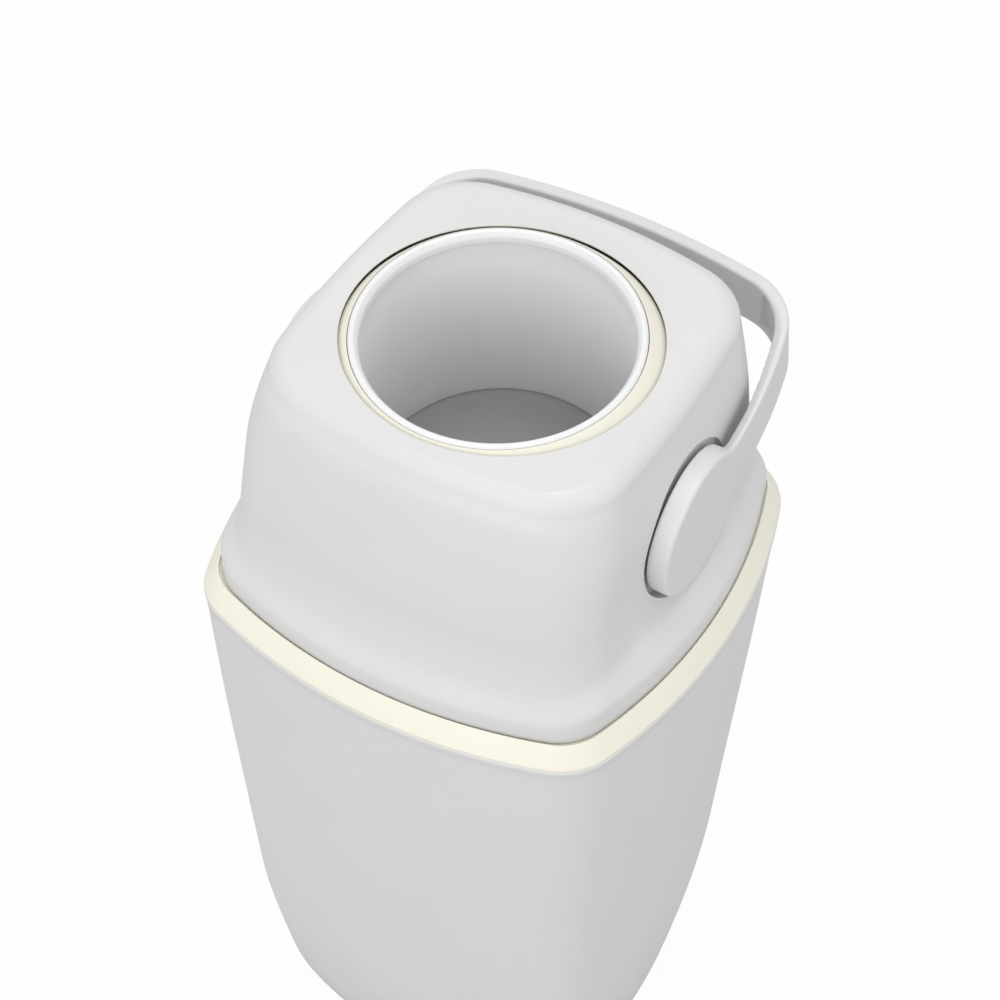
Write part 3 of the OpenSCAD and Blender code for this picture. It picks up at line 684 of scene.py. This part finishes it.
def bag_ring():
    rim = lift(bucket_rows()[-1], BUCKET_H)
    skirt_in = BUCKET_WALL + BAG_ROOM
    taper = RING_SKIRT_D / (BUCKET_H - BEAD_H) * RIM_HALF * 0.15
    slope = RING_SLOPE_W + RING_LIP
    inner = RIM_HALF - RING_INNER
    under = LEDGE_Z - RING_WALL
    section = [(0, BUCKET_H), (0, BUCKET_H + RING_WALL / 2), (RING_SLOPE_W, SEAM_Z),
               (slope, SEAM_Z), (slope, LEDGE_Z), (inner, LEDGE_Z), (inner, under),
               (skirt_in + RING_WALL, under),
               (skirt_in + taper + RING_WALL, BUCKET_H - RING_SKIRT_D),
               (skirt_in + taper, BUCKET_H - RING_SKIRT_D), (skirt_in, BUCKET_H)]
    radii = [0.2, 0.5, 0.3, 0.25, 0.4, 0.8, 0.5, 1.5, 0.6, 0.6, 0.4]
    loops = [flat_loop(lift(drawn_in(rim, p.x), p.y)) for p in rounded(section, radii, 3)]
    verts, faces = rings(loops, closed=True)
    obj = make("ring_band", verts, faces, 50)
    finish(obj, CREAM, "bin", "bag_ring")


# Handle: bail, hub discs and necks in one smooth moulding

def eased_share(k):
    k = max(0.0, min(1.0, k))
    return k * k * (3 - 2 * k)


def bail_line():
    q = quarter(HANDLE_WIDE, HANDLE_REACH - ARM_RISE, ARM_BOW, BAR_BOW, BAIL_CORNER, 14)
    half = [Vector((HANDLE_WIDE, ARM_RISE * k)) for k in (0.45, 0.6, 0.8)]
    half += [Vector((p.x, p.y + ARM_RISE)) for p in q]
    return half + [Vector((-p.x, p.y)) for p in reversed(half[:-1])]


def bail_place(line, i):
    """Outward direction, thickness and half width of the bail at a point of its line."""
    t = line[min(i + 1, len(line) - 1)] - line[max(i - 1, 0)]
    k = eased_share((line[i].y - ARM_RISE) / (HANDLE_REACH - ARM_RISE - GRIP_T))
    return (Vector((t.y, -t.x)).normalized(), ARM_T + (GRIP_T - ARM_T) * k,
            (ARM_W + (GRIP_W - ARM_W) * k) / 2)


def bail(name):
    """Bail whose inner edges have a broad bevel on the arms and a small one on the bar."""
    line = bail_line()
    loops = []
    for i, p in enumerate(line):
        u, a, b = bail_place(line, i)
        k = eased_share((BEVEL_END - p.y) / BEVEL_RUN)
        w = ARM_EDGE + (BEVEL_W - ARM_EDGE) * k
        h = ARM_EDGE + (BEVEL_H - ARM_EDGE) * k
        r = GRIP_EDGE_R - (GRIP_EDGE_R - ARM_OUTER_R) * k
        c = ARM_EDGE_R
        sec = rounded([(0, b), (w - a, b), (-a, b - h), (-a, h - b), (w - a, -b), (0, -b)],
                      [r, c, c, c, c, r], 4)
        loops.append([(p.x + u.x * s.x, p.y + u.y * s.x, s.y) for s in sec])
    verts, faces = rings(loops)
    return make(name, verts, faces, 0)


def arm_channel(side):
    """Cutter for the channel in the inner face of an arm, with a slanting end."""
    line = bail_line()
    loops = []
    for i, p in enumerate(line):
        if p.y < ARM_RISE or p.x < CHANNEL_END_X:
            continue
        u, a, b = bail_place(line, i)
        b -= CHANNEL_RIM
        slant = Vector((u.y, -u.x)) * (CHANNEL_SLANT if p.x < CHANNEL_SLANT_X else 0.0)
        sec = rounded([(CHANNEL_D - a, b), (-a - 3, b), (-a - 3, -b), (CHANNEL_D - a, -b)],
                      [1.0, 0, 0, 1.0], 3)
        loops.append([(p.x + u.x * s.x + slant.x * s.y / b,
                       p.y + u.y * s.x + slant.y * s.y / b, s.y) for s in sec])
    verts, faces = rings(loops)
    obj = make("channel", verts, faces, 0)
    if side < 0:
        obj.data.transform(Matrix.Scale(-1, 4, (1, 0, 0)))
        tidy(obj, 0)
    return obj


def hub_plate(name, side):
    """Disc with the arm's root, both with rounded edges, along X with the arm towards +Y."""
    f = NECK_FILLET
    fx = ARM_W / 2 + f
    fy = math.sqrt((DISC_R + f) ** 2 - fx * fx)
    z0, z1 = DISC_X - DISC_IN, DISC_X + DISC_T
    disc_prof = rounded([(0.0, z0), (DISC_R, z0), (DISC_R, z1), (0.0, z1)],
                        [0, DISC_BACK_R, DISC_EDGE_R, 0], 6)
    disc = lathe(name, [(p.x, p.y) for p in disc_prof], 160, 0)
    right = [(fx * DISC_R / (DISC_R + f) * 0.8, 0)]
    start = math.atan2(-fy, -fx) + 2 * math.pi
    for i in range(10):
        t = start + (math.pi - start) * i / 9
        right.append((fx + f * math.cos(t), fy + f * math.sin(t)))
    poly = right + [(-x, y) for x, y in reversed(right)]
    z1 = DISC_X + DISC_T - ARM_STEP
    z0 = z1 - ARM_T
    lv, lf = rings([[(x - math.copysign(BEVEL_H, x), y, z0) for x, y in poly],
                    [(x, y, z0 + BEVEL_W) for x, y in poly],
                    [(x, y, z1 - ARM_EDGE) for x, y in poly],
                    [(x * (1 - ROOT_DRAFT), y, z1) for x, y in poly]])
    root = make(name, lv, lf, 0)
    flip = Matrix.Scale(-1, 4, (1, 0, 0)) if side < 0 else Matrix.Identity(4)
    for o in (disc, root):
        o.data.transform(flip @ along_x(1))
        tidy(o, 0)
    return [disc, root]


def handle():
    obj, *others = [bail("p")] + hub_plate("p", 1) + hub_plate("p", -1)
    for other in others:
        carve(obj, other, "UNION", 0)
    for side in (-1, 1):
        carve(obj, arm_channel(side), "DIFFERENCE", 0)
    mod = obj.modifiers.new("r", "REMESH")
    mod.mode = "VOXEL"
    mod.voxel_size = VOXEL * MM
    mod.use_smooth_shade = True
    bake(obj)
    bm = bmesh.new()
    bm.from_mesh(obj.data)
    for _ in range(SMOOTH_PASSES):
        bmesh.ops.smooth_vert(bm, verts=bm.verts, factor=0.5, use_axis_x=True, use_axis_y=True,
                              use_axis_z=True)
    bm.to_mesh(obj.data)
    bm.free()
    obj.name = "blended"
    spigots = [place(rod("s", SPIGOT_R, BALL_END, DISC_X + 1, 96, 0.4), along_x(side))
               for side in (-1, 1)]
    whole = join("bail_handle", [obj] + spigots)
    whole.data.shade_smooth()
    whole.data.set_sharp_from_angle(angle=math.radians(50))
    place(whole, at_hub(HANDLE_ANGLE))
    finish(whole, GREY, "drum", "handle")


# Drum

def ball_half(name, up, node):
    """Half of the ball with its flat ends, split across the chute."""
    outer = []
    end = math.acos(BALL_END / BALL_R)
    for i in range(49):
        t = end + (math.pi - 2 * end) * i / 48
        outer.append((BALL_R * math.sin(t), BALL_R * math.cos(t)))
    inner = BALL_R - BALL_WALL
    inner_end = BALL_END - BALL_END_WALL
    end = math.acos(inner_end / inner)
    back = []
    for i in range(49):
        t = math.pi - end - (math.pi - 2 * end) * i / 48
        back.append((inner * math.sin(t), inner * math.cos(t)))
    loop = [(AXIS_R, BALL_END)] + outer + [(AXIS_R, -BALL_END), (AXIS_R, -inner_end)] + back \
        + [(AXIS_R, inner_end)]
    obj = lathe(name, loop, 192, 30)
    place(obj, along_x(1))
    carve(obj, rod("c", RIM_R + FIT, -130, 130, 192))
    bm = bmesh.new()
    bm.from_mesh(obj.data)
    geom = list(bm.verts) + list(bm.edges) + list(bm.faces)
    bmesh.ops.bisect_plane(bm, geom=geom, plane_co=(0, 0, HALF_GAP * MM * up),
                           plane_no=(0, 0, -up), clear_outer=True)
    edges = [x for x in bm.edges if x.is_boundary]
    bmesh.ops.holes_fill(bm, edges=edges, sides=0)
    bm.to_mesh(obj.data)
    bm.free()
    tidy(obj, 30)
    place(obj, at_hub(LEAN))
    finish(obj, CREAM, "drum", node)


def drum_lathe(name, profile, mat, node, flip=False):
    obj = lathe(name, [(p.x, p.y) for p in profile], 224)
    if flip:
        place(obj, Matrix.Rotation(math.pi, 4, "X"))
    place(obj, at_hub(LEAN))
    finish(obj, mat, "drum", node)


def chute():
    """Tube, and a rim with a soft funnel and a skirt round the tube at each end."""
    tube = rounded([(BORE_R, -LIP_Z), (TUBE_R, -LIP_Z), (TUBE_R, LIP_Z), (BORE_R, LIP_Z)],
                   [0.3] * 4, 2)
    drum_lathe("chute_wall", tube, INNER, "chute_tube")
    edge = RIM_R - RIM_GROOVE
    skirt_z = LIP_Z - RIM_SKIRT_D
    rim = rounded([(edge, RIM_Z - RIM_EDGE_D), (edge - RIM_EDGE_W, RIM_Z),
                   (edge - RIM_CREST_W, RIM_Z - RIM_CREST_D), (LIP_R + FUNNEL_W, RIM_Z - FUNNEL_D),
                   (LIP_R, LIP_Z), (TUBE_R + FIT, LIP_Z), (TUBE_R + FIT, skirt_z),
                   (RIM_R, skirt_z), (RIM_R, LIP_Z), (edge, LIP_Z + RIM_GROOVE)],
                  [0.4, 1.2, 2.2, 2.5, 0.4, 0, 0.4, 0.4, 0, 0.2], 5)
    drum_lathe("mouth_lip_a", rim, PALE, "mouth_rim_upper")
    drum_lathe("mouth_lip_b", rim, PALE, "mouth_rim_lower", True)


# Piston: two halves, each with a bowl in its face inside a narrow flat edge

def piston_half(name, up, node):
    h = PISTON_H / 2
    face_r = PISTON_R - PISTON_EDGE_W
    groove_r = PISTON_R - WIPER_D
    groove_z = h - WIPER_IN - WIPER_H
    pts = [(0.0, PISTON_SPLIT), (PISTON_R, PISTON_SPLIT), (PISTON_R, groove_z),
           (groove_r, groove_z), (groove_r, h - WIPER_IN), (PISTON_R, h - WIPER_IN),
           (PISTON_R, h), (face_r, h)]
    prof = [tuple(p) for p in rounded(pts, [0, 0.4, 0.3, 0, 0, 0.3, 0.2, 0.1], 4)][:-1]
    for i in range(1, 32):
        u = math.cos(math.pi / 2 * i / 32)
        prof.append((face_r * u, h - DISH_D * math.sqrt(1 - u ** 4)))
    prof.append((0.0, h - DISH_D))
    obj = lathe(name, prof, 192)
    if up < 0:
        place(obj, Matrix.Rotation(math.pi, 4, "X"))
    place(obj, at_hub(LEAN) @ Matrix.Translation((0, 0, (-LIP_Z + h) * MM)))
    # The piston's dark grey is painted shade of the deep chute
    finish(obj, PISTON_PAINTED_SHADE, "piston", node)


head_cover()
bucket()
bag_ring()
handle()
ball_half("ball_shell_a", 1, "ball_upper")
ball_half("ball_shell_b", -1, "ball_lower")
chute()
piston_half("piston_face_a", 1, "piston_upper")
piston_half("piston_face_b", -1, "piston_lower")

# The other CAD nodes stay, with their own materials and most with slightly rounded edges
KEPT = {"hinge_pin": (STEEL, 0.3), "head_base": (INNER, 0.3),
        "head_gasket": (RUBBER, 0.5), "head_screws": (STEEL, 0.2), "upper_seal": (RUBBER, 0.0),
        "lower_seal": (RUBBER, 0.0), "bush_left": (BEARING, 0.2), "bush_right": (BEARING, 0.2),
        "hub_washers": (STEEL, 0.2), "hub_screws": (STEEL, 0.3), "piston_weight": (WEIGHT, 0.3),
        "piston_wiper_upper": (RUBBER, 0.0), "piston_wiper_lower": (RUBBER, 0.0),
        "piston_screws": (STEEL, 0.2)}
for node, (mat, edge) in KEPT.items():
    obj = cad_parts[node]
    obj.data.materials.clear()
    obj.data.materials.append(mat)
    if edge:
        mod = obj.modifiers.new("edge", "BEVEL")
        mod.width = edge * MM
        mod.segments = 2
        mod.limit_method = "ANGLE"
        mod.angle_limit = math.radians(50)


# Floor, light and camera; lengths in metres except for the camera's place

FLOOR_R = 6.0
FLOOR_SIDES = 64
FLOOR_TONE = 0.7
FLOOR_GLOW = 0.96
DOME = 0.73


def floor():
    """Pale matt floor that the camera sees nearly white."""
    turns = [2 * math.pi * i / FLOOR_SIDES for i in range(FLOOR_SIDES)]
    mesh = bpy.data.meshes.new("floor")
    mesh.from_pydata([(FLOOR_R * math.cos(t), FLOOR_R * math.sin(t), 0) for t in turns], [],
                     [tuple(range(FLOOR_SIDES))])
    mat, bsdf, add, wire = node_kit("floor")
    bsdf.inputs["Base Color"].default_value = (FLOOR_TONE, FLOOR_TONE, FLOOR_TONE, 1)
    bsdf.inputs["Roughness"].default_value = 0.9
    path = add("LightPath")
    glow = add("Emission", Color=(1, 1, 1, 1), Strength=1.0)
    share = add("Math")
    share.operation = "MULTIPLY"
    share.inputs[1].default_value = FLOOR_GLOW
    mix = add("MixShader")
    wire(path.outputs["Is Camera Ray"], share.inputs[0])
    wire(share.outputs["Value"], mix.inputs["Fac"])
    wire(bsdf.outputs["BSDF"], mix.inputs[1])
    wire(glow.outputs["Emission"], mix.inputs[2])
    wire(mix.outputs["Shader"], mat.node_tree.nodes["Material Output"].inputs["Surface"])
    mesh.materials.append(mat)
    link(bpy.data.objects.new("floor", mesh))


def lamp(name, where, look, size, power):
    """Square soft lamp that looks at a point."""
    data = bpy.data.lights.new(name, "AREA")
    data.shape = "RECTANGLE"
    data.size = data.size_y = size
    data.energy = power
    obj = link(bpy.data.objects.new(name, data))
    obj.location = Vector(where)
    obj.rotation_euler = (Vector(look) - Vector(where)).to_track_quat("-Z", "Y").to_euler()


def dome():
    """World: white for the camera, a softer white as light."""
    world = scene.world or bpy.data.worlds.new("world")
    scene.world = world
    world.use_nodes = True
    nodes, wire = world.node_tree.nodes, world.node_tree.links.new
    nodes.clear()
    shades = []
    for strength in (DOME, 1.0):
        shade = nodes.new("ShaderNodeBackground")
        shade.inputs["Color"].default_value = (1, 1, 1, 1)
        shade.inputs["Strength"].default_value = strength
        shades.append(shade)
    mix = nodes.new("ShaderNodeMixShader")
    wire(nodes.new("ShaderNodeLightPath").outputs["Is Camera Ray"], mix.inputs["Fac"])
    wire(shades[0].outputs["Background"], mix.inputs[1])
    wire(shades[1].outputs["Background"], mix.inputs[2])
    wire(mix.outputs["Shader"], nodes.new("ShaderNodeOutputWorld").inputs["Surface"])


AZIMUTH, ELEVATION, ROLL = math.radians(29.137), math.radians(48.12), math.radians(1.419)
DISTANCE = 1250.64
LOOK_AT = Vector((0.784, 0.437, TOP_Z - 116.89))
FOCAL_PX, PICTURE_PX = 2456.4, 1000.0
SENSOR = 36.0


def camera():
    back = Vector((math.sin(AZIMUTH) * math.cos(ELEVATION),
                   -math.cos(AZIMUTH) * math.cos(ELEVATION), math.sin(ELEVATION)))
    right = Vector((math.cos(AZIMUTH), math.sin(AZIMUTH), 0))
    up = back.cross(right)
    turned = Matrix((right * math.cos(ROLL) + up * math.sin(ROLL),
                     up * math.cos(ROLL) - right * math.sin(ROLL), back)).transposed().to_4x4()
    turned.translation = (LOOK_AT + back * DISTANCE) * MM
    data = bpy.data.cameras.new("camera")
    data.sensor_width = SENSOR
    data.lens = FOCAL_PX / PICTURE_PX * SENSOR
    data.clip_start = 0.05
    data.clip_end = 50
    obj = link(bpy.data.objects.new("camera", data))
    obj.matrix_world = turned
    scene.camera = obj


scene = bpy.context.scene
floor()
lamp("front", (0, -2.6, 1.6), (0, 0, 0.35), 1.8, 14.5)
lamp("top", (0, 0, 2.9), (0, 0, 0.4), 1.0, 15)
lamp("side", (0.9, -0.9, 2.9), (0, 0, 0.4), 1.6, 6)
lamp("fill", (2.8, -0.8, 1.3), (0, 0, 0.3), 2.0, 2.4)
dome()
camera()
scene.view_settings.view_transform = "Standard"
